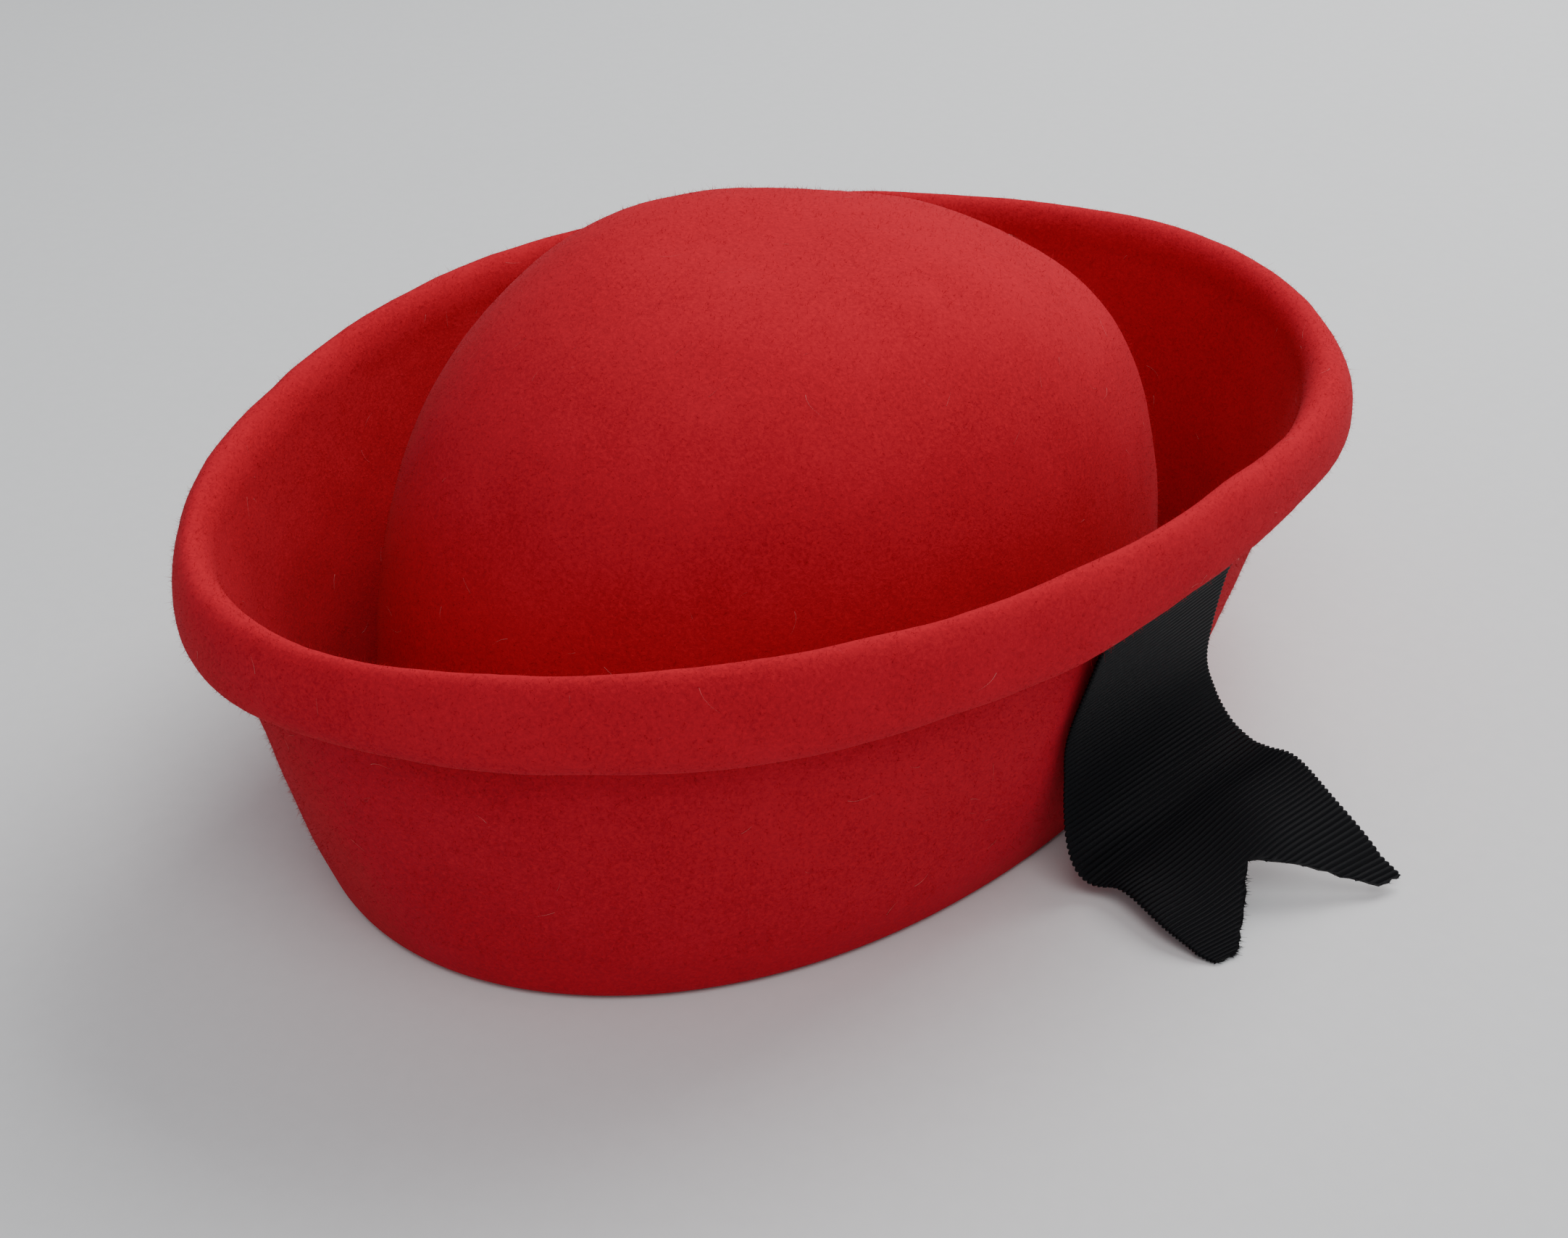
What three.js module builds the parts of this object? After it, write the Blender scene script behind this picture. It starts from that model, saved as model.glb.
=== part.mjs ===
// A soft felt hat: a domed crown stands inside a deep brim that turns up all round, flares outward
// and ends in a thick rolled edge. One ribbon tail comes out from under the roll at the wearer's
// left, towards the back, falls down the wall and runs out on the surface that the hat rests on.
//
// Millimetres. +Z is up, the wearer faces -Y, and the wearer's left is +X.
// Angles are in degrees round the hat: 0 is the back (+Y), 90 the wearer's left (+X).
import * as THREE from "three";
import { mergeVertices } from "three/addons/utils/BufferGeometryUtils.js";

// Felt and crown
const FELT = 2.4;
const CROWN_LENGTH = 195;
const CROWN_WIDTH = 145.5;
const CROWN_HEIGHT = 128.5;
const CROWN_LEAN_BACK = 7;
const CROWN_LEAN_RIGHT = 2.5;

// Fold between crown and brim: the clear width of the trench, narrowest at the sides. The fold is
// rounded below by a share of its narrowest width, which leaves a flat band all round
const TRENCH_AT_SIDES = 3.8;
const TRENCH_AT_BACK = 6.7;
const TRENCH_AT_FRONT = 13.5;
const FOLD_ROUNDED_SHARE = 0.4;
const FOLD_ROUNDING = FOLD_ROUNDED_SHARE * (TRENCH_AT_SIDES + 2 * FELT);

// Brim: its height to the top of the roll, and how far the roll's middle stands out past the fold
const BRIM_HEIGHT = 90;
const FLARE_AT_FRONT = 18;
const FLARE_AT_BACK = 34;
const FLARE_AT_SIDES = 22.7;
const ROLL_HEIGHT = 20;
const ROLL_THICKNESS = 10;

// Ribbon tail
const RIBBON_WIDTH = 50;
const RIBBON_THICKNESS = 1;
const RIBBON_REACH = 55;
const RIBBON_ANGLE = 58;
const SWALLOWTAIL_DEPTH = 18;
const TIP_WIDTH = 6;
const CLEARANCE = 0.35;
const TUCK_BELOW_ROLL = 1.8;

// How square each outline is (2 is an ellipse) and how much narrower it is at the back
const CROWN_OUTLINE = { power: 2.1, egg: -0.07 };
const FOLD_OUTLINE = { power: 2.08, egg: -0.08 };
const RIM_OUTLINE = { power: 2.04, egg: 0 };

// The dome follows (reach)^round + (height)^full = 1
const DOME = { round: 2.65, full: 3.2 };

// The wall leaves the fold steeply outward and straightens: reach = height^ease
const WALL_EASE = 0.8;

// Shallow dents in the crown: place and size as shares of its half width and half length,
// depth as a share of its height
const DENTS = [
  { across: 0.10, along: -0.10, wide: 0.34, long: 0.20, deep: 0.012 },
  { across: 0.42, along: -0.62, wide: 0.30, long: 0.26, deep: 0.010 },
];

// The rim's wave, at even angles from the back: reach and height as shares of the rim's own, and
// the roll's height and thickness as shares of theirs
const RIM_STATIONS = [
  { angle: 0, reach: 0.985, height: 0.985, rollHeight: 0.84, rollThickness: 1.1 },
  { angle: 30, reach: 0.99, height: 0.97, rollHeight: 0.84, rollThickness: 1.05 },
  { angle: 60, reach: 0.955, height: 1.0, rollHeight: 0.92, rollThickness: 0.98 },
  { angle: 90, reach: 0.965, height: 1.0, rollHeight: 1.03, rollThickness: 0.95 },
  { angle: 120, reach: 0.972, height: 1.0, rollHeight: 1.1, rollThickness: 0.96 },
  { angle: 150, reach: 0.972, height: 1.01, rollHeight: 1.04, rollThickness: 0.98 },
  { angle: 180, reach: 0.99, height: 0.995, rollHeight: 0.95, rollThickness: 1.0 },
  { angle: 210, reach: 0.96, height: 1.01, rollHeight: 0.95, rollThickness: 0.98 },
  { angle: 240, reach: 0.98, height: 1.035, rollHeight: 1.0, rollThickness: 0.98 },
  { angle: 270, reach: 1.02, height: 1.03, rollHeight: 1.0, rollThickness: 1.02 },
  { angle: 300, reach: 1.0, height: 1.02, rollHeight: 0.95, rollThickness: 1.05 },
  { angle: 330, reach: 0.968, height: 1.005, rollHeight: 0.88, rollThickness: 1.08 },
];

// The ribbon's cross lines from under the roll to its tips. round: degrees round the hat from the
// ribbon's own angle; off: how far the middle stands off the wall, as a share of the reach;
// height: of the middle, as a share of the tuck's; tilt: back edge above front edge, as a share of
// the width; turn: degrees that the cross line's back edge is turned outward from the wall's line
const RIBBON_STATIONS = [
  { round: 7.3, off: 0.028, height: 0.986, tilt: -0.02, turn: 0 },
  { round: 7.7, off: 0.01, height: 0.873, tilt: -0.04, turn: -1.8 },
  { round: 6.9, off: 0.02, height: 0.595, tilt: -0.057, turn: 1.7 },
  { round: 4.8, off: 0.083, height: 0.43, tilt: 0, turn: 6.6 },
  { round: 3.5, off: 0.188, height: 0.306, tilt: 0.122, turn: 13.4 },
  { round: 2.9, off: 0.303, height: 0.24, tilt: 0.288, turn: 20.1 },
  { round: 1.2, off: 0.387, height: 0.204, tilt: 0.4, turn: 24.3 },
  { round: -1.5, off: 0.519, height: 0.188, tilt: 0.364, turn: 23.5 },
  { round: -3.2, off: 0.793, height: 0.127, tilt: 0.264, turn: 21.5 },
  { round: -8.4, off: 1.117, height: 0.0148, tilt: 0.04, turn: 28 },
];

// Fineness of the meshes; the ribbon's columns are an even count, so that one of them is its middle
const STATIONS_ROUND = 72;
const CROWN_RINGS = 12;
const TRENCH_RINGS = 5;
const WALL_RINGS = 6;
const ROLL_RINGS = 12;
const FOLD_RINGS = 4;
const RIBBON_ROWS = 30;
const RIBBON_COLUMNS = 8;

const radians = THREE.MathUtils.degToRad;
const mix = THREE.MathUtils.lerp;

// Smooth curve through equally important rows: Catmull-Rom on one column, at place u in row units
function smooth(values, u, closed) {
  const count = values.length;
  const held = (i) => Math.min(Math.max(i, 0), count - 1);
  const pick = (i) => values[closed ? (i + count) % count : held(i)];
  const i = Math.min(Math.floor(u), closed ? count - 1 : count - 2);
  const f = u - i;
  const [p0, p1, p2, p3] = [pick(i - 1), pick(i), pick(i + 1), pick(i + 2)];
  const pull = p2 - p0;
  const bend = 2 * p0 - 5 * p1 + 4 * p2 - p3;
  const twist = 3 * p1 - p0 - 3 * p2 + p3;
  return p1 + 0.5 * f * (pull + f * (bend + f * twist));
}

const rimColumn = (name, angle) => {
  const rows = RIM_STATIONS.map((row) => row[name]);
  const turned = THREE.MathUtils.euclideanModulo(angle, 360);
  return smooth(rows, (turned / 360) * rows.length, true);
};
const ribbonColumn = (name, share) => {
  const rows = RIBBON_STATIONS.map((row) => row[name]);
  return smooth(rows, share * (rows.length - 1), false);
};

// A closed outline seen from above: a superellipse with its own reach to the back, the front and
// the sides, narrower towards one end by egg
function outlinePoint(reach, shape, angle, share = 1) {
  const s = Math.sin(radians(angle));
  const c = Math.cos(radians(angle));
  const middle = (reach.back - reach.front) / 2;
  const halfLength = (reach.back + reach.front) / 2;
  const halfWidth = reach.side * (1 + shape.egg * c);
  const power = shape.power;
  const radius = (Math.abs(s / halfWidth) ** power + Math.abs(c / halfLength) ** power) ** (-1 / power);
  return new THREE.Vector2(radius * share * s, radius * share * c + middle);
}

const even = (length, width) => ({ back: length / 2, front: length / 2, side: width / 2 });
const grown = (reach, by) => ({ back: reach.back + by, front: reach.front + by, side: reach.side + by });

const crownReach = even(CROWN_LENGTH, CROWN_WIDTH);
const crownInnerReach = grown(crownReach, -FELT);
const foldInnerReach = {
  back: crownReach.back + TRENCH_AT_BACK,
  front: crownReach.front + TRENCH_AT_FRONT,
  side: crownReach.side + TRENCH_AT_SIDES,
};
const foldReach = grown(foldInnerReach, FELT);
const rimReach = {
  back: foldReach.back + FLARE_AT_BACK,
  front: foldReach.front + FLARE_AT_FRONT,
  side: foldReach.side + FLARE_AT_SIDES,
};

const rimMiddleHeight = (angle) => BRIM_HEIGHT * rimColumn("height", angle) - ROLL_HEIGHT / 2;
const rollHalfHeight = (angle) => (ROLL_HEIGHT / 2) * rimColumn("rollHeight", angle);
const rollHalfThickness = (angle) => (ROLL_THICKNESS / 2) * rimColumn("rollThickness", angle);
const rimPoint = (angle, across) =>
  outlinePoint(grown(rimReach, across), RIM_OUTLINE, angle, rimColumn("reach", angle));

// One face of the crown, from the crown's foot (share 0) to its top (share 1)
function crownPoint(reach, height, angle, share) {
  const turn = radians(90 * (1 - share));
  const spread = Math.sin(turn) ** (2 / DOME.round);
  const rise = Math.cos(turn) ** (2 / DOME.full);
  const plan = outlinePoint(reach, CROWN_OUTLINE, angle).multiplyScalar(spread);
  let z = FOLD_ROUNDING + (height - FOLD_ROUNDING) * rise;
  for (const dent of DENTS) {
    const dx = (plan.x / reach.side - dent.across) / dent.wide;
    const dy = (plan.y / reach.back - dent.along) / dent.long;
    z -= dent.deep * CROWN_HEIGHT * rise * Math.exp(-dx * dx - dy * dy);
  }
  return new THREE.Vector3(plan.x - CROWN_LEAN_RIGHT * rise, plan.y + CROWN_LEAN_BACK * rise, z);
}

// The outer face of the brim's wall, moved inward by inset, from the fold (share 0) to the roll (1)
function wallPoint(angle, share, inset) {
  const foot = outlinePoint(grown(foldReach, -inset), FOLD_OUTLINE, angle);
  const rim = rimPoint(angle, FELT - rollHalfThickness(angle) - inset);
  const plan = foot.lerp(rim, share ** WALL_EASE);
  const z = mix(FOLD_ROUNDING, rimMiddleHeight(angle), share);
  return new THREE.Vector3(plan.x, plan.y, z);
}

// The rolled edge: from the brim's inner face over the top, down outside and back under to the
// wall's outer face; turn runs from 180 degrees to rollMeetsWall
function rollPoint(angle, turn) {
  const across = rollHalfThickness(angle) * Math.cos(turn);
  const plan = rimPoint(angle, across);
  return new THREE.Vector3(plan.x, plan.y, rimMiddleHeight(angle) + rollHalfHeight(angle) * Math.sin(turn));
}
const rollMeetsWall = (angle) => -Math.acos(FELT / rollHalfThickness(angle) - 1);

// The fold's rounded underside beside an outline, towards the fold's middle (toward: -1 inward, 1
// outward); turn runs from 0 on the outline to 90 degrees on the ground
function foldPoint(reach, shape, toward, angle, turn) {
  const inset = FOLD_ROUNDING * (1 - Math.cos(radians(turn)));
  const plan = outlinePoint(grown(reach, toward * inset), shape, angle);
  return new THREE.Vector3(plan.x, plan.y, FOLD_ROUNDING * (1 - Math.sin(radians(turn))));
}

// The closed profile of the hat at one angle, from the crown's outer top to its inner top
function hatProfile(angle) {
  const profile = [];
  for (let i = 1; i < CROWN_RINGS; i++) {
    profile.push(crownPoint(crownReach, CROWN_HEIGHT, angle, 1 - i / CROWN_RINGS));
  }
  const crownFoot = crownPoint(crownReach, CROWN_HEIGHT, angle, 0);
  const wallFoot = wallPoint(angle, 0, FELT);
  for (let i = 0; i <= TRENCH_RINGS; i++) {
    const turn = radians((180 * i) / TRENCH_RINGS);
    const point = crownFoot.clone().lerp(wallFoot, (1 - Math.cos(turn)) / 2);
    point.z -= (FOLD_ROUNDING - FELT) * Math.sin(turn);
    profile.push(point);
  }
  for (let i = 1; i < WALL_RINGS; i++) {
    profile.push(wallPoint(angle, i / WALL_RINGS, FELT));
  }
  const last = rollMeetsWall(angle);
  for (let i = 0; i <= ROLL_RINGS; i++) {
    profile.push(rollPoint(angle, mix(Math.PI, last, i / ROLL_RINGS)));
  }
  const notch = profile.at(-1).z;
  const notchShare = (notch - FOLD_ROUNDING) / (rimMiddleHeight(angle) - FOLD_ROUNDING);
  for (let i = WALL_RINGS - 1; i >= 0; i--) {
    profile.push(wallPoint(angle, (notchShare * i) / WALL_RINGS, 0));
  }
  for (let i = 1; i <= FOLD_RINGS; i++) {
    profile.push(foldPoint(foldReach, FOLD_OUTLINE, -1, angle, 90 * (i / FOLD_RINGS)));
  }
  for (let i = 0; i <= FOLD_RINGS; i++) {
    const turn = 90 * (1 - i / FOLD_RINGS);
    profile.push(foldPoint(crownInnerReach, CROWN_OUTLINE, 1, angle, turn));
  }
  for (let i = 1; i < CROWN_RINGS; i++) {
    profile.push(crownPoint(crownInnerReach, CROWN_HEIGHT - FELT, angle, i / CROWN_RINGS));
  }
  return profile;
}

// A closed mesh from loops of points that all have the same count, with a cap point at each end
function loftedSolid(loops, firstCap, lastCap) {
  const vertices = [firstCap, ...loops.flat(), lastCap];
  const count = loops[0].length;
  const at = (loop, i) => 1 + loop * count + (i % count);
  const faces = [];
  for (let i = 0; i < count; i++) {
    faces.push(0, at(0, i), at(0, i + 1));
    faces.push(vertices.length - 1, at(loops.length - 1, i + 1), at(loops.length - 1, i));
    for (let loop = 0; loop + 1 < loops.length; loop++) {
      faces.push(at(loop, i), at(loop + 1, i), at(loop + 1, i + 1));
      faces.push(at(loop, i), at(loop + 1, i + 1), at(loop, i + 1));
    }
  }
  const geometry = new THREE.BufferGeometry().setFromPoints(vertices);
  geometry.setIndex(faces);
  return mergeVertices(geometry, 1e-4);
}

function feltHat() {
  const profiles = [];
  for (let i = 0; i < STATIONS_ROUND; i++) {
    profiles.push(hatProfile((-360 * i) / STATIONS_ROUND));
  }
  const loops = profiles[0].map((_, ring) => profiles.map((profile) => profile[ring]));
  const top = crownPoint(crownReach, CROWN_HEIGHT, 0, 1);
  const innerTop = crownPoint(crownInnerReach, CROWN_HEIGHT - FELT, 0, 1);
  return loftedSolid(loops, top, innerTop);
}

const tuckHeight = rimMiddleHeight(RIBBON_ANGLE) - rollHalfHeight(RIBBON_ANGLE) - TUCK_BELOW_ROLL;

// The middle surface of the ribbon: place runs from 0 to 1 over the rows of its table, side from
// -1 at the front edge to 1 at the back edge
function ribbonPoint(place, side) {
  const tilt = ribbonColumn("tilt", place);
  const height = tuckHeight * ribbonColumn("height", place);
  const angle = RIBBON_ANGLE + ribbonColumn("round", place);
  const wallShare = Math.max((height - FOLD_ROUNDING) / (rimMiddleHeight(angle) - FOLD_ROUNDING), 0);
  const wall = wallPoint(angle, wallShare, 0);
  const alongWall = wallPoint(angle - 1, wallShare, 0).sub(wallPoint(angle + 1, wallShare, 0));
  const turn = Math.atan2(alongWall.x, alongWall.y) + radians(ribbonColumn("turn", place));
  const off = CLEARANCE + RIBBON_THICKNESS / 2 + RIBBON_REACH * ribbonColumn("off", place);
  const flat = Math.sqrt(1 - tilt * tilt);
  const half = (side * RIBBON_WIDTH) / 2;
  return new THREE.Vector3(
    wall.x + off + half * flat * Math.sin(turn),
    wall.y + half * flat * Math.cos(turn),
    RIBBON_THICKNESS / 2 + height + half * tilt,
  );
}

// Lengths along the ribbon's middle, so that rows can be spaced evenly and the tails cut to depth
const ribbonMiddle = new THREE.CatmullRomCurve3(
  Array.from({ length: RIBBON_ROWS * 4 + 1 }, (_, i) => ribbonPoint(i / (RIBBON_ROWS * 4), 0)),
);
const ribbonLength = ribbonMiddle.getLength();
const ribbonPlace = (length) => ribbonMiddle.getUtoTmapping(length / ribbonLength);

function ribbonTail() {
  const step = 1e-3;
  const blunt = 1 - TIP_WIDTH / (RIBBON_WIDTH / 2);
  const point = (row, column, face) => {
    const side = (2 * column) / RIBBON_COLUMNS - 1;
    const cutBack = SWALLOWTAIL_DEPTH * Math.max(1 - Math.abs(side) / blunt, 0);
    const place = ribbonPlace((row / RIBBON_ROWS) * (ribbonLength - cutBack));
    const before = Math.max(place - step, 0);
    const after = Math.min(place + step, 1);
    const along = ribbonPoint(after, side).sub(ribbonPoint(before, side));
    const across = ribbonPoint(place, 1).sub(ribbonPoint(place, -1));
    const normal = across.cross(along).normalize();
    return ribbonPoint(place, side).addScaledVector(normal, (face * RIBBON_THICKNESS) / 2);
  };
  const loops = [];
  for (let row = 0; row <= RIBBON_ROWS; row++) {
    const loop = [];
    for (let column = 0; column <= RIBBON_COLUMNS; column++) {
      loop.push(point(row, column, -1));
    }
    for (let column = RIBBON_COLUMNS; column >= 0; column--) {
      loop.push(point(row, column, 1));
    }
    loops.push(loop);
  }
  const middle = (row) => point(row, RIBBON_COLUMNS / 2, 0);
  return loftedSolid(loops, middle(0), middle(RIBBON_ROWS));
}

const redFelt = new THREE.MeshStandardMaterial({ color: 0xb3141b, roughness: 0.95, metalness: 0 });
const blackRibbon = new THREE.MeshStandardMaterial({ color: 0x121214, roughness: 0.7, metalness: 0 });

const hat = new THREE.Group();
for (const [name, geometry, material] of [
  ["felt_hat", feltHat(), redFelt],
  ["ribbon_tail", ribbonTail(), blackRibbon],
]) {
  const mesh = new THREE.Mesh(geometry, material);
  mesh.name = name;
  hat.add(mesh);
}

// The origin is below the middle of the hat's box, on the surface that it rests on
const box = new THREE.Box3().setFromObject(hat);
const middle = box.getCenter(new THREE.Vector3());
hat.position.set(-middle.x, -middle.y, -box.min.z);

export default hat;
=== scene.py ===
# %% [markdown]
# # A soft felt hat with a rolled brim
# The hat is one moulded felt body: a domed crown stands inside a deep brim that turns up all round
# and ends in a thick rolled edge. One ribbon tail comes out from under the roll and runs out on the
# floor. The scene is in metres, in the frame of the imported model.
# We start by loading that frame and by keeping the size of its box, to compare with at the end.

import bmesh
import bpy
import numpy as np
from mathutils import Matrix, Vector


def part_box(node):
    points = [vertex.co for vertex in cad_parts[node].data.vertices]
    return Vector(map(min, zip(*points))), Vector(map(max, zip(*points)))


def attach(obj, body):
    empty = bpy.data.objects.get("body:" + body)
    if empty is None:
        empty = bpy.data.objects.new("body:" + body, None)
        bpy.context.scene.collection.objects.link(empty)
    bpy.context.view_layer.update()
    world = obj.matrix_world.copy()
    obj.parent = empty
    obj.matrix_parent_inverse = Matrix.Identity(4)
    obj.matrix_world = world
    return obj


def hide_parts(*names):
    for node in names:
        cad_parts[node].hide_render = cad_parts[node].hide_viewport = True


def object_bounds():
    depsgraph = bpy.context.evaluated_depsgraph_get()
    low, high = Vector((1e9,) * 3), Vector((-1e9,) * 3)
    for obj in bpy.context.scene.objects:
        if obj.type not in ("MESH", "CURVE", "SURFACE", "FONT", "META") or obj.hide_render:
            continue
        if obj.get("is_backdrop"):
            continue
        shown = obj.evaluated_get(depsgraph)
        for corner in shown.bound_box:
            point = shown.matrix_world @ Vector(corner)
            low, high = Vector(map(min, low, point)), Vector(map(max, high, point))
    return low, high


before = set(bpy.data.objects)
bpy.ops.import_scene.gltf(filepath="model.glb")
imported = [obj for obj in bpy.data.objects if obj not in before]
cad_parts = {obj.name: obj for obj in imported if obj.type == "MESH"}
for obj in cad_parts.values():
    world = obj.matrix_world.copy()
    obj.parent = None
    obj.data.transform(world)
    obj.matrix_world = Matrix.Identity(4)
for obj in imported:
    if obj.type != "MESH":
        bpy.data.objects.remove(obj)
cad_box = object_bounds()
print("nodes:", sorted(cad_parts))
print("box of the packed model:", [list(np.round(corner, 4)) for corner in cad_box])

# %% [markdown]
# ## The camera
# The camera stands above the floor, in front of the hat and to the wearer's left, and looks down at
# it. A camera could be aimed with a Track To constraint. Four plain numbers are used instead: how
# far it stands from its target, its angle round the hat, its angle above the floor, and its roll.

# %% Camera
IMAGE_WIDTH = 2164
FOCAL_IN_PIXELS = 3200
SENSOR_WIDTH = 36
TARGET = Vector((0.0274, -0.0249, 0.060))
DISTANCE = 0.4950
AROUND, ABOVE, ROLL = np.radians([58.47, 33.05, -3.05])

towards_camera = Vector((np.sin(AROUND) * np.cos(ABOVE), -np.cos(AROUND) * np.cos(ABOVE), np.sin(ABOVE)))
level_right = Vector((0, 0, 1)).cross(towards_camera).normalized()
level_up = towards_camera.cross(level_right)
right = level_right * np.cos(ROLL) + level_up * np.sin(ROLL)
up = level_up * np.cos(ROLL) - level_right * np.sin(ROLL)

camera = bpy.data.objects.new("camera", bpy.data.cameras.new("camera"))
camera.data.sensor_width = SENSOR_WIDTH
camera.data.lens = SENSOR_WIDTH * FOCAL_IN_PIXELS / IMAGE_WIDTH
camera.data.clip_start = 0.01
turned = Matrix((right, up, towards_camera)).transposed().to_4x4()
camera.matrix_world = Matrix.Translation(TARGET + DISTANCE * towards_camera) @ turned
bpy.context.scene.collection.objects.link(camera)
bpy.context.scene.camera = camera
print("camera at", np.round(camera.matrix_world.translation, 4), "lens", round(camera.data.lens, 1), "mm")

# %% [markdown]
# ## Outlines seen from above
# Crown, fold and rim are each a closed oval. A circle could be scaled, but a hat's oval is a little
# squarer than an ellipse and narrower at one end, and the rim waves up and down. So each outline is
# a superellipse, and its wave is read from a short table with a smooth closed curve through it.
# The table's shares follow the rim that was fitted to the photograph.
# Sizes are in millimetres here, as a hat maker would say them. Angle 0 is the hat's back and a
# quarter turn is the wearer's left.

# %% Outlines
FELT = 2.4
CROWN_LENGTH, CROWN_WIDTH, CROWN_HEIGHT = 195, 145.5, 128.5
LEAN_BACK, LEAN_RIGHT = 11.2, 2.6
TRENCH_BACK, TRENCH_FRONT, TRENCH_SIDE = 6.7, 13.5, 3.8
FLARE_BACK, FLARE_FRONT, FLARE_SIDE = 34, 18, 22.7
BRIM_HEIGHT, ROLL_HEIGHT, ROLL_THICKNESS = 90, 20, 10
FOLD_ROUNDED_SHARE = 0.4
FOLD_ROUNDING = FOLD_ROUNDED_SHARE * (TRENCH_SIDE + 2 * FELT)
CROWN_OUTLINE, FOLD_OUTLINE, RIM_OUTLINE = (2.1, -0.07), (2.08, -0.08), (2.04, 0.0)

# every 30 degrees from the back: reach, height, roll's height and roll's thickness, as shares
RIM_WAVE = np.array([
    (0.985, 0.985, 0.84, 1.10), (0.990, 0.970, 0.84, 1.05), (0.955, 1.000, 0.92, 0.98),
    (0.965, 1.000, 1.03, 0.95), (0.972, 1.000, 1.10, 0.96), (0.972, 1.010, 1.04, 0.98),
    (0.990, 0.995, 0.95, 1.00), (0.960, 1.010, 0.95, 0.98), (0.980, 1.035, 1.00, 0.98),
    (1.020, 1.030, 1.00, 1.02), (1.000, 1.020, 0.95, 1.05), (0.968, 1.005, 0.88, 1.08),
])


def smooth_through(rows, place):
    """Catmull-Rom: between two rows the curve leaves each one along the line of its neighbours."""
    whole = np.floor(place).astype(int)
    part = place - whole
    before, here, after, later = (rows[(whole + step) % len(rows)] for step in (-1, 0, 1, 2))
    bend = 2 * before - 5 * here + 4 * after - later
    twist = 3 * here - before - 3 * after + later
    return here + 0.5 * part * (after - before + part * (bend + part * twist))


def rim_wave(column, angle):
    """One column of the rim's table at any angle."""
    return smooth_through(RIM_WAVE[:, column], np.mod(angle, 2 * np.pi) / (2 * np.pi) * len(RIM_WAVE))


def outline(reach, shape, angle, share=1.0):
    """A superellipse: x over the half width and y over the half length, each to the same power, add
    up to one. The width shrinks towards one end. reach is (back, front, side)."""
    power, egg = shape
    back, front, side = reach
    s, c = np.sin(angle), np.cos(angle)
    middle, length = (back - front) / 2, (back + front) / 2
    width = side * (1 + egg * c)
    radius = (np.abs(s / width) ** power + np.abs(c / length) ** power) ** (-1 / power)
    return radius * share * s, radius * share * c + middle


CROWN_REACH = np.array([CROWN_LENGTH / 2, CROWN_LENGTH / 2, CROWN_WIDTH / 2])
FOLD_REACH = CROWN_REACH + (TRENCH_BACK, TRENCH_FRONT, TRENCH_SIDE) + np.float64(FELT)
RIM_REACH = FOLD_REACH + (FLARE_BACK, FLARE_FRONT, FLARE_SIDE)
print("rim is", round(2 * RIM_REACH[2]), "by", round(RIM_REACH[0] + RIM_REACH[1]), "mm before its wave")

# %% [markdown]
# ## The felt body
# Real felt is steamed and pulled over a wooden block, so the crown is a full dome with a few soft
# dents, and the wall swings outward from the fold. It could be sculpted from a subdivided cube. A
# profile carried round the outlines is easier to keep true: at each angle one closed line runs over
# the crown, through the trench, up the brim, round the roll, down outside and up into the head
# hollow. Each part of that line is a function of the angle and of a share from 0 to 1.

# %% Crown
DOME_ROUND, DOME_FULL = 2.48, 3.4
# across, along, width, length (shares of the crown's half sizes) and depth in millimetres; a
# negative depth is a bulge. The first five were placed one by one, the other seven were fitted to the
# crown's outline in the photograph, and so were the lean and the dome's two powers
DENTS = [
    (0.10, -0.10, 0.34, 0.20, 1.6), (0.42, -0.62, 0.30, 0.26, 1.4), (-0.30, 0.35, 0.40, 0.30, 1.0),
    (-0.05, 0.42, 0.30, 0.18, -0.9), (0.55, 0.30, 0.22, 0.30, -0.8), (-0.45, -0.55, 0.42, 0.34, -3.5),
    (-0.45, -0.10, 0.42, 0.34, -3.3), (-0.45, 0.75, 0.42, 0.34, 1.6), (0.0, -0.55, 0.42, 0.34, -0.8),
    (0.0, 0.35, 0.42, 0.34, 3.0), (0.0, 0.75, 0.42, 0.34, 5.2), (0.45, 0.75, 0.42, 0.34, 3.2),
]


def crown(reach, height, angle, share):
    """A dome: reach to the power DOME_ROUND and height to the power DOME_FULL add up to one. It leans
    back, and each dent takes a bell-shaped dip out of it."""
    turn = np.pi / 2 * (1 - share)
    x, y = outline(reach, CROWN_OUTLINE, angle)
    spread, rise = np.sin(turn) ** (2 / DOME_ROUND), np.cos(turn) ** (2 / DOME_FULL)
    x, y = x * spread, y * spread
    z = FOLD_ROUNDING + (height - FOLD_ROUNDING) * rise
    for across, along, wide, long, deep in DENTS:
        bell = ((x / reach[2] - across) / wide) ** 2 + ((y / reach[0] - along) / long) ** 2
        z = z - deep * rise * np.exp(-bell)
    return np.stack(np.broadcast_arrays(x - LEAN_RIGHT * rise, y + LEAN_BACK * rise, z), -1)


# %% [markdown]
# The brim's edge is felt that was rolled up and pressed, so it is a thick soft tube, flatter than a
# pipe and not the same all the way round. The wall below it leaves the fold steeply and straightens.

# %% Wall, roll and fold
WALL_EASE = 0.8
CREASE_RISE, CREASE_GAP = 4.0, 0.25
# how much the roll swells and sags outward below its middle, as shares of half its thickness
ROLL_SWELL, ROLL_SAG = 0.16, 0.2


def rim_middle(angle):
    """Height of the roll's middle."""
    return BRIM_HEIGHT * rim_wave(1, angle) - ROLL_HEIGHT / 2


def roll_thickness(angle):
    """Half of the roll's thickness."""
    return ROLL_THICKNESS / 2 * rim_wave(3, angle)


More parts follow.
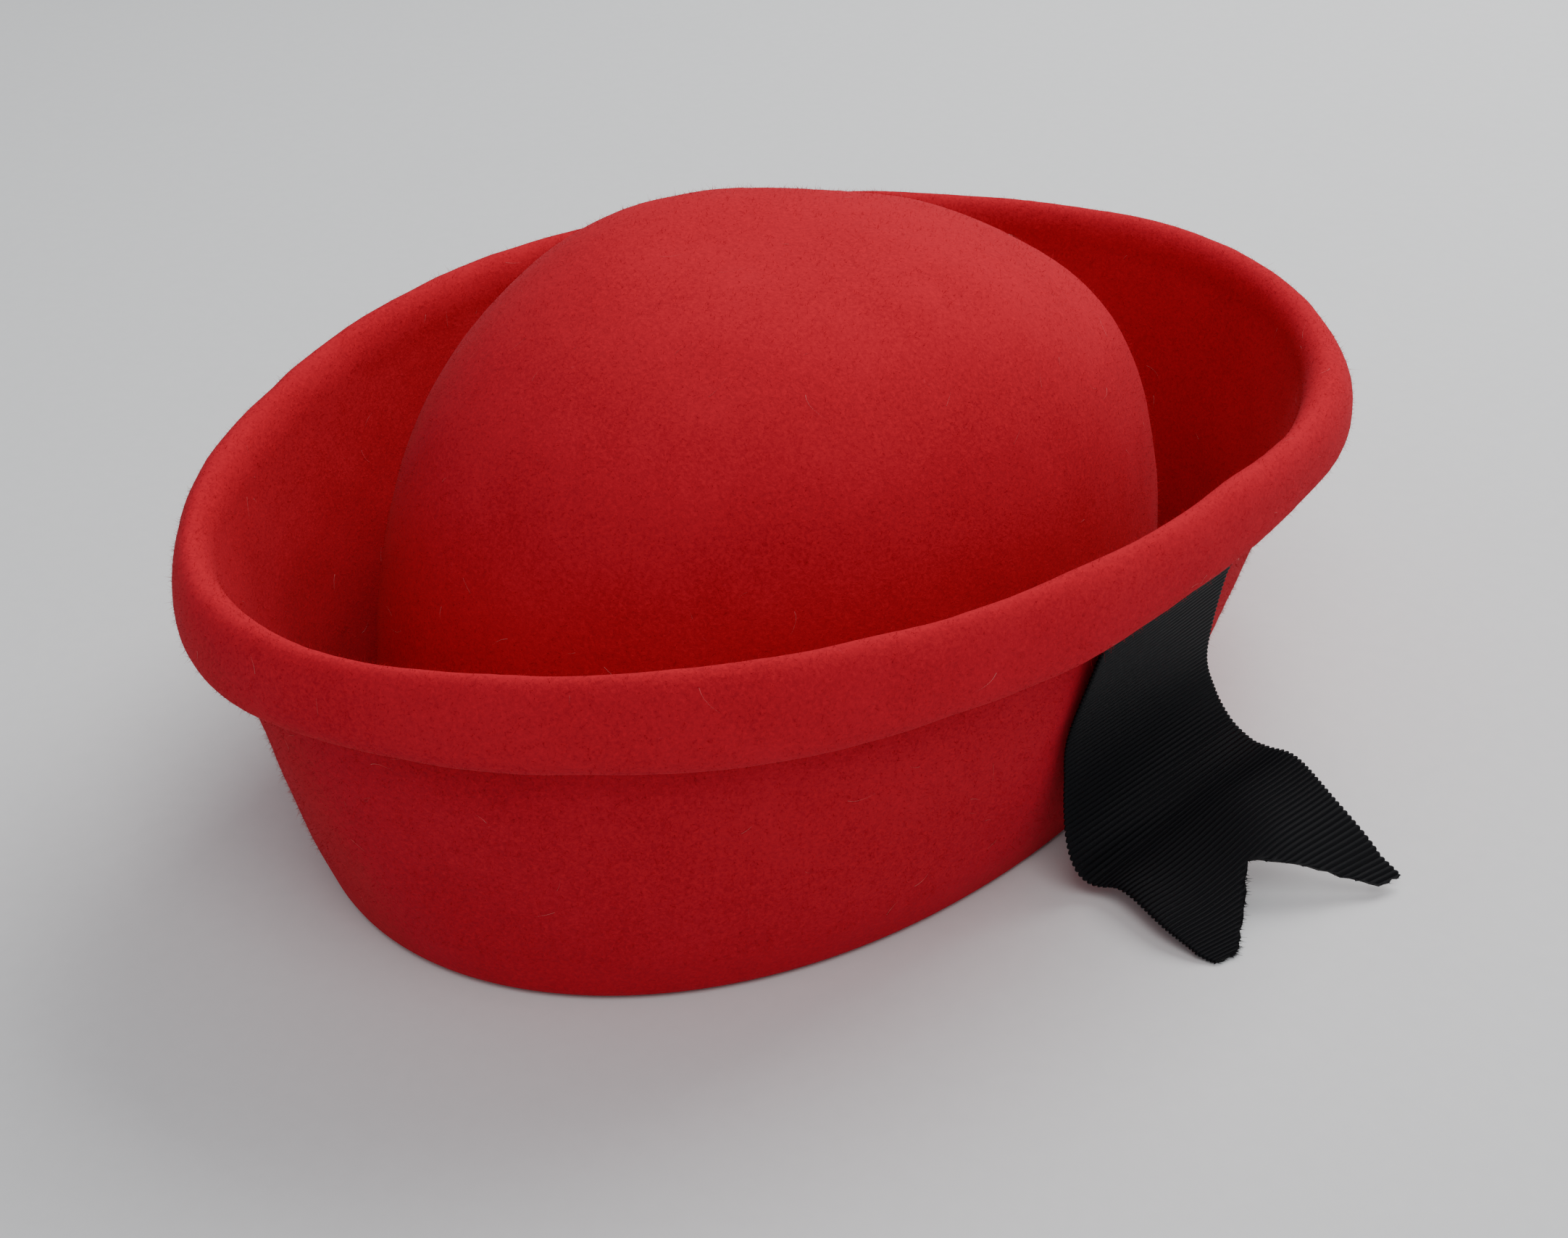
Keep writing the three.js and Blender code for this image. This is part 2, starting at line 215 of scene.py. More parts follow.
def rim(angle, across):
    """The rim's outline, moved outward by across."""
    return outline(RIM_REACH[:, None, None] + across, RIM_OUTLINE, angle, rim_wave(0, angle))


def wall(angle, share, inset):
    """From the fold's outline to the rim's, in a straight line that starts a little steeper."""
    foot = outline(FOLD_REACH - inset, FOLD_OUTLINE, angle)
    top = rim(angle, FELT - roll_thickness(angle) - inset)
    out = share**WALL_EASE
    x, y = (low + (high - low) * out for low, high in zip(foot, top))
    z = FOLD_ROUNDING + (rim_middle(angle) - FOLD_ROUNDING) * share
    return np.stack(np.broadcast_arrays(x, y, z), -1)


def roll(angle, turn):
    """A flattened circle round the rim's middle line: the turn's cosine outward, more so below, and
    its sine up."""
    below = np.clip(-np.sin(turn), 0, 1)
    fuller = 1 + ROLL_SWELL * below * (np.cos(turn) > 0)
    across = roll_thickness(angle) * (np.cos(turn) * fuller + ROLL_SAG * below**2)
    x, y = rim(angle, across)
    z = rim_middle(angle) + ROLL_HEIGHT / 2 * rim_wave(2, angle) * np.sin(turn)
    return np.stack(np.broadcast_arrays(x, y, z), -1)


def curl_under(angle, turn):
    """A quarter circle from the roll's lowest line in and up to the wall, where it leaves a crease."""
    low = roll(angle, -np.pi / 2)
    sag = ROLL_SAG * roll_thickness(angle)
    gap = sag + roll_thickness(angle) - FELT
    x, y = rim(angle, sag - (gap - CREASE_GAP) * np.sin(turn))
    z = low[..., 2] + CREASE_RISE * (1 - np.cos(turn))
    return np.stack(np.broadcast_arrays(x, y, z), -1)


def fold(reach, shape, toward, angle, turn):
    """A quarter circle from an outline down to the floor, inward (-1) or outward (1) of it."""
    inset = toward * FOLD_ROUNDING * (1 - np.cos(turn))
    x, y = outline(reach[:, None, None] + inset, shape, angle)
    return np.stack(np.broadcast_arrays(x, y, FOLD_ROUNDING * (1 - np.sin(turn))), -1)


# %% [markdown]
# The parts are stacked into one grid of points: one row for each place on the profile, one column
# for each angle. A short moving average along the profile softens the corners between the parts, as
# felt can't hold a sharp crease.

# %% The whole profile
ANGLES = 400
# rows of points on each part of the profile, shared ends included
CROWN_ROWS, TRENCH_ROWS, WALL_ROWS, ROLL_ROWS = 60, 13, 34, 41
CURL_ROWS, OUTSIDE_ROWS, FOLD_ROWS, HOLLOW_ROWS = 9, 30, 10, 50
SOFTENING_PASSES = 2


def shares(count, first=True, last=True):
    """A column of even shares from 0 to 1, with or without its ends."""
    row = np.linspace(0, 1, count)
    return row[None if first else 1: None if last else -1][:, None]


def felt_grid(angle):
    """All the parts of the profile, one under the other, from the crown's top to the hollow's."""
    inner_reach = CROWN_REACH - FELT
    crown_foot = crown(CROWN_REACH, CROWN_HEIGHT, angle, 0.0)
    wall_foot = wall(angle, 0.0, FELT)
    half = np.pi * shares(TRENCH_ROWS)[..., None]
    trench = crown_foot + (wall_foot - crown_foot) * (1 - np.cos(half)) / 2
    trench[..., 2] -= (FOLD_ROUNDING - FELT) * np.sin(half)[..., 0]
    around = roll(angle, np.pi - 1.5 * np.pi * shares(ROLL_ROWS))
    under = curl_under(angle, np.pi / 2 * shares(CURL_ROWS, first=False))
    notch = (under[-1, :, 2] - FOLD_ROUNDING) / (rim_middle(angle)[0] - FOLD_ROUNDING)
    quarter = np.pi / 2 * shares(FOLD_ROWS)
    return np.concatenate([
        crown(CROWN_REACH, CROWN_HEIGHT, angle, 1 - shares(CROWN_ROWS, first=False, last=False)),
        trench,
        wall(angle, shares(WALL_ROWS, first=False, last=False), FELT),
        around,
        under,
        wall(angle, notch * (1 - shares(OUTSIDE_ROWS, first=False)), 0.0),
        fold(FOLD_REACH, FOLD_OUTLINE, -1, angle, quarter[1:]),
        fold(inner_reach, CROWN_OUTLINE, 1, angle, quarter[::-1]),
        crown(inner_reach, CROWN_HEIGHT - FELT, angle, shares(HOLLOW_ROWS, first=False, last=False)),
    ])


column_angles = -2 * np.pi * np.arange(ANGLES)[None, :] / ANGLES
felt_points = felt_grid(column_angles)
for _ in range(SOFTENING_PASSES):
    felt_points[1:-1] = (felt_points[:-2] + 2 * felt_points[1:-1] + felt_points[2:]) / 4
print("felt grid:", felt_points.shape[0], "places by", felt_points.shape[1], "angles")

# %% [markdown]
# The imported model's origin lies below the middle of its whole box, ribbon included. The hat's own
# sizes are measured from the crown's middle, so the grid is moved until its box has the same middle
# as the node that it stands for. Then soft unevenness goes on: felt is never a perfect surface. It
# could be a Displace modifier with a noise texture. A sum of a few dozen long waves in random
# directions, with a fixed seed, does the same in whole arrays, and fades out where the hat stands.

# %% Place and unevenness
MM = 0.001
low, high = (np.array(corner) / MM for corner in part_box("felt_hat"))
own_low, own_high = felt_points.min(axis=(0, 1)), felt_points.max(axis=(0, 1))
PLACE = np.array([*((low + high - own_low - own_high) / 2)[:2], 0.0])
# height, wave length, number of waves and seed of each layer of unevenness
UNEVENNESS = [(0.3, 55, 24, 3), (0.05, 16, 30, 4), (0.02, 4.5, 40, 5)]
# each wave's own length is between these shares of its layer's
SHORTEST, LONGEST = 0.7, 1.5
# the felt keeps its shape below this height, and is fully uneven this much higher up
HELD_BELOW, HELD_OVER = 1, 14
print("hat moved by", np.round(PLACE, 2), "mm")


def waves(points, length, count, seed):
    """Sum of count sines of about this wave length, in random directions; its size is about 1."""
    dice = np.random.default_rng(seed)
    ways = dice.normal(size=(count, 3))
    lengths = length * dice.uniform(SHORTEST, LONGEST, count)
    ways *= (2 * np.pi / lengths / np.linalg.norm(ways, axis=1))[:, None]
    return np.sin(points @ ways.T + dice.uniform(0, 2 * np.pi, count)).sum(-1) / np.sqrt(count / 2)


def grid_normals(points):
    """Across times along, from each point's neighbours; the columns close into a ring."""
    across = np.roll(points, -1, axis=1) - np.roll(points, 1, axis=1)
    normals = np.cross(np.gradient(points, axis=0), across)
    return normals / np.maximum(np.linalg.norm(normals, axis=-1, keepdims=True), 1e-9)


def uneven(points):
    """Each point moves along its normal by three layers of waves, less and less near the floor."""
    swell = sum(height * waves(points, length, count, seed) for height, length, count, seed in UNEVENNESS)
    held = np.clip((points[..., 2] - HELD_BELOW) / HELD_OVER, 0, 1)
    return points + grid_normals(points) * (swell * held * held * (3 - 2 * held))[..., None]


felt_points = uneven(felt_points)
poles = np.stack([felt_points[0].mean(0), felt_points[-1].mean(0)])

# %% [markdown]
# ## From a grid of points to a mesh
# Blender wants a list of points and a list of faces. The grid's faces are four neighbours each, the
# last column meets the first one again, and each end of the grid closes in a fan round one point.


# %% Felt mesh
def mesh_object(name, points, faces, smooth=True):
    """A mesh from points in millimetres, at the world's origin, in the scene."""
    mesh = bpy.data.meshes.new(name)
    mesh.from_pydata((points * MM).tolist(), [], faces)
    if smooth:
        mesh.shade_smooth()
    mesh.update()
    made = bpy.data.objects.new(name, mesh)
    bpy.context.scene.collection.objects.link(made)
    print(name, len(mesh.vertices), "points", sum(len(f.vertices) - 2 for f in mesh.polygons), "triangles")
    return made


def ring_faces(rows, columns):
    """Four-sided faces between the rows of a grid whose columns close into a ring."""
    row, column = np.meshgrid(np.arange(rows - 1), np.arange(columns), indexing="ij")
    beside = (column + 1) % columns
    here, below = row * columns, (row + 1) * columns
    corners = (here + column, below + column, below + beside, here + beside)
    return np.stack(corners, -1).reshape(-1, 4).tolist()


rows = len(felt_points)
ring = np.arange(ANGLES)
beside = (ring + 1) % ANGLES
last_row, top_pole = (rows - 1) * ANGLES, rows * ANGLES
first_fan = np.stack([np.full(ANGLES, top_pole), ring, beside], -1)
last_fan = np.stack([np.full(ANGLES, top_pole + 1), last_row + beside, last_row + ring], -1)
felt = mesh_object(
    "felt_body",
    np.concatenate([felt_points.reshape(-1, 3), poles]) + PLACE,
    ring_faces(rows, ANGLES) + first_fan.tolist() + last_fan.tolist(),
)
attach(felt, "root")
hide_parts("felt_hat")

# %% [markdown]
# ## The ribbon tail
# A ribbon is a flat woven band that bends easily one way only. A cloth simulation could drop it, but
# the photograph shows how this one falls: straight down the wall, then in a twist out on the floor.
# So its middle line comes from a short table that was fitted to the ribbon's edges, with a smooth
# open curve through it: where it is round the hat, how far it stands off the wall, its height, and
# the tilt and turn of its cross line.

# %% The ribbon's way
RIBBON_WIDTH, RIBBON_THICKNESS, RIBBON_REACH, CLEARANCE = 50, 1.0, 55, 0.35
RIBBON_ANGLE, TUCK_BELOW_ROLL = 58, 1.8
# degrees round the hat, off the wall, height, tilt (shares), and degrees of turn from the wall
RIBBON_WAY = np.array([
    (7.3, 0.028, 0.986, -0.020, 0), (7.7, 0.010, 0.873, -0.040, -1.8), (6.9, 0.020, 0.595, -0.057, 1.7),
    (4.8, 0.083, 0.430, 0.000, 6.6), (3.5, 0.188, 0.306, 0.122, 13.4), (2.9, 0.303, 0.240, 0.288, 20.1),
    (1.2, 0.387, 0.204, 0.400, 24.3), (-1.5, 0.519, 0.188, 0.364, 23.5), (-3.2, 0.793, 0.127, 0.264, 21.5),
    (-8.4, 1.117, 0.0148, 0.040, 28),
])
# each tail's arch: its height, its start and length along the ribbon, its middle and width across
BACK_TAIL_ARCH = (1.6, 0.66, 0.33, 0.3, 0.4)
FRONT_EDGE_ARCH = (1.8, 0.72, 0.26, -1.0, 0.3)
# about one degree, to find which way the wall runs
SMALL_TURN = 0.0175
tuck_angle = np.radians(RIBBON_ANGLE)
tuck_height = rim_middle(tuck_angle) - ROLL_HEIGHT / 2 * rim_wave(2, tuck_angle) - TUCK_BELOW_ROLL


def way(column, place):
    """One column of the ribbon's table; beyond its ends the table stays at its last row."""
    rows = RIBBON_WAY[:, column]
    steps = place * (len(rows) - 1)
    whole = np.clip(np.floor(steps), 0, len(rows) - 2).astype(int)
    part = steps - whole
    before, here, after, later = (rows[np.clip(whole + step, 0, len(rows) - 1)] for step in (-1, 0, 1, 2))
    bend = 2 * before - 5 * here + 4 * after - later
    twist = 3 * here - before - 3 * after + later
    return here + 0.5 * part * (after - before + part * (bend + part * twist))


def arch(place, side, shape):
    """Half a sine wave along the ribbon, times a bell across it."""
    height, start, length, middle, width = shape
    rise = height * np.sin(np.pi * np.clip((place - start) / length, 0, 1))
    return rise * np.exp(-(((side - middle) / width) ** 2))


def lift(place, side):
    """How far the tails rise off the floor: an arch along the back tail, and the front tail's edge."""
    return arch(place, side, BACK_TAIL_ARCH) + arch(place, side, FRONT_EDGE_ARCH)


def ribbon_middle(place, side):
    """The ribbon's middle surface: its middle line, plus side times half its width on the cross line."""
    angle = tuck_angle + np.radians(way(0, place))
    height = tuck_height * way(2, place)
    share = np.maximum((height - FOLD_ROUNDING) / (rim_middle(angle) - FOLD_ROUNDING), 0)
    on_wall = wall(angle, share, 0.0)
    along_wall = wall(angle - SMALL_TURN, share, 0.0) - wall(angle + SMALL_TURN, share, 0.0)
    turn = np.arctan2(along_wall[..., 0], along_wall[..., 1]) + np.radians(way(4, place))
    off = CLEARANCE + RIBBON_THICKNESS / 2 + RIBBON_REACH * way(1, place)
    tilt, half = way(3, place), side * RIBBON_WIDTH / 2
    level = np.sqrt(1 - tilt**2)
    x = on_wall[..., 0] + off + half * level * np.sin(turn)
    y = on_wall[..., 1] + half * level * np.cos(turn)
    z = RIBBON_THICKNESS / 2 + height + half * tilt + lift(place, side)
    return np.stack(np.broadcast_arrays(x, y, z), -1)


LINE_POINTS = 1001
line = ribbon_middle(np.linspace(0, 1, LINE_POINTS)[:, None], 0.0)[:, 0]
line_length = np.concatenate([[0], np.cumsum(np.linalg.norm(np.diff(line, axis=0), axis=1))])
RIBBON_LENGTH = line_length[-1]
print("the ribbon runs", round(RIBBON_LENGTH, 1), "mm")

# %% [markdown]
# This ribbon is a grosgrain: thick weft cords cross it from edge to edge, so it has fine ribs, and
# each cord's end is a small bead along the edge. A bump map could draw them. Real ribs are made
# here, because they catch the light along the twist: the thickness swells once for each cord, and
# the width swells with it. A row of points is a line straight across, so that the ribs are clean.
# The swallowtail is cut by stopping each lengthwise line earlier towards the middle: the points
# past its cut all land on the same spot, and merging them leaves a clean cut edge.

# %% Ribbon mesh
RIB_PITCH, RIB_DEPTH, CORE = 1.12, 0.28, 0.24
SWALLOWTAIL_DEPTH, TIP_WIDTH = 18, 6
LENGTHWISE, ACROSS = 1040, 40
# two fine waves make the cut ragged: height, waves across and start; the cut also stays this far back
RAGGED_CUT, CUT_BACK = ((0.20, 61, 1), (0.16, 143, 0)), 0.3
# the cords' profile, their average height, and how far their ends stand out as beads
CORD_POWER, CORD_MIDDLE, BEAD, BEAD_POWER = 0.8, 0.6, 0.021, 20
BORDER_HEIGHT, BORDER_WIDTH, EDGE_POWER = 0.07, 0.035, 50
# steps along and across the ribbon, to find which way its surface faces
STEP_ALONG, STEP_ACROSS = 0.002, 0.05
# the points crowd towards the edges by this share, and stay this far above the floor
CROWDED, ABOVE_FLOOR, MERGE_WITHIN = 0.75, 0.05, 0.000002
blunt = 1 - 2 * TIP_WIDTH / RIBBON_WIDTH


def cut_length(side):
    """Where each lengthwise line is cut: full length at the blunt tips, less towards the notch."""
    ragged = sum(height * np.sin(side * count + start) for height, count, start in RAGGED_CUT)
    return RIBBON_LENGTH - SWALLOWTAIL_DEPTH * np.maximum(1 - np.abs(side) / blunt, 0) + ragged - CUT_BACK


def ribbon_faces_at(row, side):
    """Both faces: the middle surface, plus and minus half the thickness: a core and a rounded rib."""
    length = np.minimum(row * RIBBON_LENGTH, cut_length(side))
    place = np.interp(length, line_length, np.linspace(0, 1, LINE_POINTS))
    cord = np.abs(np.sin(np.pi * length / RIB_PITCH)) ** CORD_POWER
    reach = side * (1 + BEAD * (cord - CORD_MIDDLE) * np.abs(side) ** BEAD_POWER)
    middle = ribbon_middle(place, reach)
    ahead, behind = np.minimum(place + STEP_ALONG, 1), np.maximum(place - STEP_ALONG, 0)
    along = ribbon_middle(ahead, reach) - ribbon_middle(behind, reach)
    across = ribbon_middle(place, reach + STEP_ACROSS) - ribbon_middle(place, reach - STEP_ACROSS)
    normal = np.cross(across, along)
    normal /= np.linalg.norm(normal, axis=-1, keepdims=True)
    border = BORDER_HEIGHT * np.exp(-(((1 - np.abs(side)) / BORDER_WIDTH) ** 2))
    half = (CORE + RIB_DEPTH * cord + border) * np.sqrt(1 - np.abs(side) ** EDGE_POWER)
    return middle + normal * half[..., None], middle - normal * half[..., None]


row, even = np.linspace(0, 1, LENGTHWISE)[:, None], np.linspace(-1, 1, ACROSS + 1)[None, :]
side = CROWDED * np.sin(even * np.pi / 2) + (1 - CROWDED) * even
upper, lower = ribbon_faces_at(row, side)
loop = np.concatenate([lower, upper[:, -2:0:-1]], axis=1)
loop[..., 2] = np.maximum(loop[..., 2], ABOVE_FLOOR)
around = loop.shape[1]
columns = np.arange(ACROSS)
opposite = (around - columns) % around
ends = np.stack([columns, opposite, (around - columns - 1) % around, columns + 1], -1)
last = (LENGTHWISE - 1) * around
ribbon = mesh_object(
    "ribbon_grosgrain",
    loop.reshape(-1, 3) + PLACE,
    ring_faces(LENGTHWISE, around) + ends.tolist() + (ends[:, ::-1] + last).tolist(),
)
widthwise = np.concatenate([side[0], side[0, -2:0:-1]])
lengthwise = np.minimum(row * RIBBON_LENGTH, cut_length(widthwise)) / RIBBON_WIDTH
ribbon_map = np.stack(np.broadcast_arrays((widthwise + 1) / 2, lengthwise), -1).reshape(-1, 2)
corners = np.empty(len(ribbon.data.loops), dtype=np.int32)
ribbon.data.loops.foreach_get("vertex_index", corners)
ribbon.data.uv_layers.new(name="along").data.foreach_set("uv", ribbon_map[corners].ravel())
shell = bmesh.new()
shell.from_mesh(ribbon.data)
bmesh.ops.remove_doubles(shell, verts=shell.verts, dist=MERGE_WITHIN)
shell.to_mesh(ribbon.data)
shell.free()
print("after the cut:", len(ribbon.data.vertices), "points")
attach(ribbon, "root")
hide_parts("ribbon_tail")

# %% [markdown]
# ## Loose fibres
# Wool felt is never smooth at its edge: short fibres stand off it everywhere and make its outline
# soft. A hair system could grow them, but the exported model would lose it. So each fibre is a tiny
# closed spike of three sides, placed and turned with whole arrays. The same helper makes the short
# fuzz, the longer stray hairs that lie on the felt, and the thread ends at the ribbon's cut.


# %% Fibre helper
# no fibre runs just this way, so the cross product of the two never vanishes
ANY_OTHER_WAY = (0.3, 0.5, 0.81)


def unit(vectors):
    """Each vector at length one."""
    return vectors / np.linalg.norm(vectors, axis=-1, keepdims=True)


def fibres(name, roots, ways, bends, thick, steps):
    """Three-sided spikes that thin to a point. At a share t of its length, a spike's middle is its
    root, plus t times its way, plus t squared times its bend."""
    count = len(roots)
    t = (np.arange(steps) / steps)[None, :, None]
    middles = roots[:, None] + ways[:, None] * t + bends[:, None] * t**2
    first = unit(np.cross(ways, ANY_OTHER_WAY))
    second = unit(np.cross(ways, first))
    turns = (2 * np.pi * np.arange(3) / 3)[None, :, None]
    rim_of = first[:, None] * np.cos(turns) + second[:, None] * np.sin(turns)
    rings = middles[:, :, None] + rim_of[:, None] * (thick * (1 - t[..., None]))
    tips = (roots + ways + bends)[:, None]
    points = np.concatenate([rings.reshape(count, -1, 3), tips], axis=1)
    a, b = np.arange(3), (np.arange(3) + 1) % 3
    sides = [np.stack([s * 3 + a, s * 3 + b, s * 3 + 3 + b, s * 3 + 3 + a], -1) for s in range(steps - 1)]
    top = np.stack([(steps - 1) * 3 + a, (steps - 1) * 3 + b, np.full(3, steps * 3)], -1)
    shift = (np.arange(count) * points.shape[1])[:, None, None]
    root_face = np.array([[[2, 1, 0]]])
    faces = (root_face + shift).reshape(-1, 3).tolist() + (top[None] + shift).reshape(-1, 3).tolist()
    for quads in sides:
        faces += (quads[None] + shift).reshape(-1, 4).tolist()
    return mesh_object(name, points.reshape(-1, 3), faces)


# %% [markdown]
# The fuzz grows from random places on the grid of felt points, and only on the felt that shows. The
# places are chosen by area, so that a piece of fuzz is equally dense all over. There are two pieces,
# one on the crown and the wall inside, one on the roll and the wall outside. None grows where the
# ribbon covers the wall.

# %% Felt fuzz
FUZZ_COUNT, FUZZ_LENGTH, FUZZ_VARIES, FUZZ_THICK = 47000, 1.05, 0.35, 0.032
# fibres start above this height, keep this far from the ribbon and their tips this far off the floor
FUZZ_FROM, RIBBON_CLEAR, TIP_CLEAR = 1.8, 3.2, 0.15
# roots start this deep in the felt; distances to the ribbon are worked out in this many lots
ROOT_DEPTH, LOTS = 0.03, 20
# how much a fibre leans outward, and which of the ribbon's rows and columns stand for all of it
LEAST_LEAN, MOST_LEAN = 0.5, 1.5
EACH_ROW, EACH_COLUMN = 40, 5
# the roll's first row, and the rows that show: the fold, the hollow and the wall's foot don't
BARE_ROWS = 3
ROLL_ROW = (CROWN_ROWS - 2) + TRENCH_ROWS + (WALL_ROWS - 2)
outer_rows = rows - (HOLLOW_ROWS - 2) - (2 * FOLD_ROWS - 1) - BARE_ROWS
dice = np.random.default_rng(11)
patch = felt_points[:outer_rows] + PLACE
normals = grid_normals(felt_points)[:outer_rows]
spans = np.cross(patch[1:] - patch[:-1], np.roll(patch, -1, axis=1)[:-1] - patch[:-1])
areas = np.linalg.norm(spans, axis=-1)


def on_felt(count, dice, first=0, last=None):
    """Random points between two rows of the felt, spread evenly by area, with their normals."""
    band = areas[first:last].ravel()
    cell = dice.choice(len(band), size=count, p=band / band.sum()) + first * ANGLES
    line_of, column_of = cell // ANGLES, cell % ANGLES
    u, v = dice.random((2, count, 1))
    beside = (column_of + 1) % ANGLES
    low_edge = patch[line_of, column_of] * (1 - v) + patch[line_of, beside] * v
    high_edge = patch[line_of + 1, column_of] * (1 - v) + patch[line_of + 1, beside] * v
    return low_edge * (1 - u) + high_edge * u, normals[line_of, column_of]


def grow_fuzz(name, first, last, dice):
    """Fibres from the felt between two rows, each in a random direction that leans outward."""
    spots, facing = on_felt(FUZZ_COUNT, dice, first, last)
    cover = (loop[::EACH_ROW, ::EACH_COLUMN].reshape(-1, 3) + PLACE)[None]
    free = spots[:, 2] > FUZZ_FROM
    for some in np.array_split(np.arange(len(spots)), LOTS):
        free[some] &= np.linalg.norm(spots[some][:, None] - cover, axis=-1).min(1) > RIBBON_CLEAR
    spots, facing = spots[free], facing[free]
    random_ways = unit(dice.normal(size=spots.shape))
    loose = random_ways + facing * dice.uniform(LEAST_LEAN, MOST_LEAN, (len(spots), 1))
    ways = unit(loose) * FUZZ_LENGTH * np.exp(dice.normal(0, FUZZ_VARIES, (len(spots), 1)))
    ways[:, 2] = np.maximum(ways[:, 2], TIP_CLEAR - spots[:, 2])
    grown = fibres(name, spots - facing * ROOT_DEPTH, ways, np.zeros_like(spots), FUZZ_THICK, 1)
    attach(grown, "root")
    return grown


fuzz = [grow_fuzz("crown_fuzz", 0, ROLL_ROW, dice), grow_fuzz("rim_fuzz", ROLL_ROW, None, dice)]

# %% [markdown]
# Some longer hairs lie loosely on the felt. Each starts along the surface, rises a little and comes
# back to it in a sideways curve.

# %% Stray hairs
HAIR_COUNT, HAIR_SHORTEST, HAIR_LONGEST, HAIR_THICK = 440, 1.6, 5.5, 0.028
# how far a hair curves sideways, rises and comes back, as shares of its length
HAIR_CURVE, HAIR_RISE, HAIR_FALL = 0.9, 0.12, 0.04
HAIR_FROM, HAIR_OFF, HAIR_STEPS = 9, 0.02, 5
spots, facing = on_felt(HAIR_COUNT, dice)
high_enough = spots[:, 2] > HAIR_FROM
spots, facing = spots[high_enough], facing[high_enough]
flat = unit(np.cross(facing, dice.normal(size=spots.shape)))
lengths = dice.uniform(HAIR_SHORTEST, HAIR_LONGEST, (len(spots), 1))
curves = dice.uniform(-HAIR_CURVE, HAIR_CURVE, (len(spots), 1))
bends = np.cross(facing, flat) * lengths * curves - facing * HAIR_FALL * lengths
ways = flat * lengths + facing * HAIR_RISE * lengths
hairs = fibres("stray_hairs", spots + facing * HAIR_OFF, ways, bends, HAIR_THICK, HAIR_STEPS)
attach(hairs, "root")

# %% [markdown]
# Scissors leave the ends of warp threads standing out of the swallowtail's cut.

# %% Cut threads
THREAD_COUNT, THREAD_THICK, THREAD_STEPS = 420, 0.09, 3
THREAD_SHORTEST, THREAD_LONGEST = 0.3, 0.95
# threads stand across this share of the width, start this deep in the ribbon and this high up
THREADS_ACROSS, THREAD_DEPTH, THREAD_FROM = 0.97, 0.2, 0.25
# how much they stray and curl, and the share of their rise that is kept
STRAY, CURL, RISE_KEPT = 0.5, 0.3, 0.5
# the cut's direction is read between it and a row this share of the length before it
BEFORE_CUT = 0.012
ends_at = dice.uniform(-THREADS_ACROSS, THREADS_ACROSS, (THREAD_COUNT, 1))
cut_row = cut_length(ends_at) / RIBBON_LENGTH
top_face, under_face = ribbon_faces_at(cut_row, ends_at)
outward = unit(top_face - ribbon_faces_at(cut_row - BEFORE_CUT, ends_at)[0])[:, 0]
mixed = dice.random((THREAD_COUNT, 1))
roots = top_face[:, 0] * mixed + under_face[:, 0] * (1 - mixed) + PLACE - outward * THREAD_DEPTH
strays = outward + STRAY * dice.normal(size=outward.shape)
ways = strays * dice.uniform(THREAD_SHORTEST, THREAD_LONGEST, (THREAD_COUNT, 1))
roots[:, 2] = np.maximum(roots[:, 2], THREAD_FROM)
ways[:, 2] = np.abs(ways[:, 2]) * RISE_KEPT
curls = CURL * ways[:, [1, 0, 2]]
cut_threads = fibres("ribbon_cut_threads", roots, ways, curls, THREAD_THICK, THREAD_STEPS)
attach(cut_threads, "root")

# %% [markdown]
# ## Floor and light
# A plain pale floor, two big soft lamps and a dim sky. The stronger lamp hangs high behind the hat,
# and the other one high above the wearer's left.

# %% Floor and lights
FLOOR_REACH = 3000
LAMP_SIZE = 0.9
floor_corners = np.array([(-1, -1, 0), (1, -1, 0), (1, 1, 0), (-1, 1, 0)]) * FLOOR_REACH
floor = mesh_object("floor", floor_corners, [(0, 1, 2, 3)], smooth=False)
floor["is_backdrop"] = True


def soft_lamp(name, place, aim, size, watts):
    """A square white lamp of this size at place, turned to aim."""
    lamp = bpy.data.objects.new(name, bpy.data.lights.new(name, "AREA"))
    lamp.data.size, lamp.data.energy = size, watts
    lamp.location = place
    lamp.rotation_euler = (Vector(aim) - Vector(place)).to_track_quat("-Z", "Y").to_euler()
    bpy.context.scene.collection.objects.link(lamp)


soft_lamp("key_lamp", (-0.2, 0.8, 1.0), (0, 0.1, 0.05), LAMP_SIZE, watts=14.5)
soft_lamp("front_lamp", (0.8, -0.3, 1.5), (0, 0, 0.05), LAMP_SIZE, watts=9.2)
world = bpy.data.worlds.new("soft_sky")
world.use_nodes = True
world.node_tree.nodes["Background"].inputs["Color"].default_value = (0.9, 0.95, 1.0, 1)
world.node_tree.nodes["Background"].inputs["Strength"].default_value = 0.42
bpy.context.scene.world = world


# %% [markdown]
# ## Finishes
# A finish is a small graph of nodes. Writing each node's sockets by hand gets long, so one helper
# adds a node, sets its values and joins its inputs. The patterns read Object coordinates, which are
# metres on the piece itself, so a scale of 900 makes features of about a millimetre.


